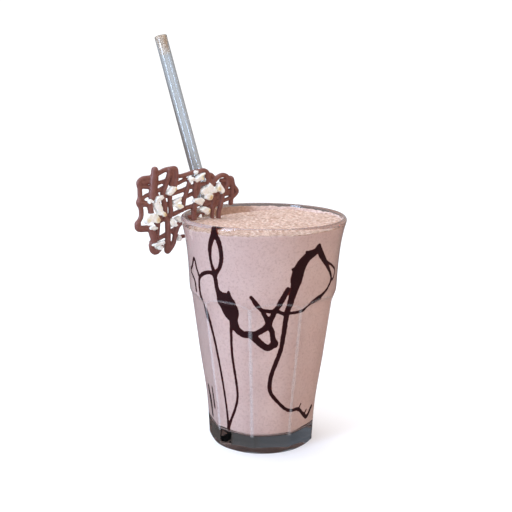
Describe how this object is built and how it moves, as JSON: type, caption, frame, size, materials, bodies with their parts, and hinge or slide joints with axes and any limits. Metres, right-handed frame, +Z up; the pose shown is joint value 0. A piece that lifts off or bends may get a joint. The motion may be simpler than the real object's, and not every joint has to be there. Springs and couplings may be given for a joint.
{
  "type": "chocolate milkshake",
  "caption": "Chocolate milkshake filled nearly to the rim of a faceted glass tumbler, with chocolate drizzle inside the glass, a clear straw and a piped chocolate lattice on the rim.",
  "frame": {"origin": "centre of the tumbler's foot, on the surface that it stands on", "axes": "+Z up along the tumbler's axis, +Y away from the viewer of the picture, +X to the viewer's right"},
  "size_m": [0.1112, 0.088, 0.2181],
  "materials": {
    "clear_glass": "polished pressed soda-lime glass",
    "milkshake": "satin milk foam, with dark chocolate drizzle on its side",
    "clear_plastic": "clear extruded plastic",
    "milk_chocolate": "satin set milk chocolate with white chocolate chips"
  },
  "bodies": {
    "root": {"tumbler": "clear_glass", "milkshake": "milkshake", "straw": "clear_plastic", "chocolate_lattice": "milk_chocolate"}
  },
  "joints": []
}
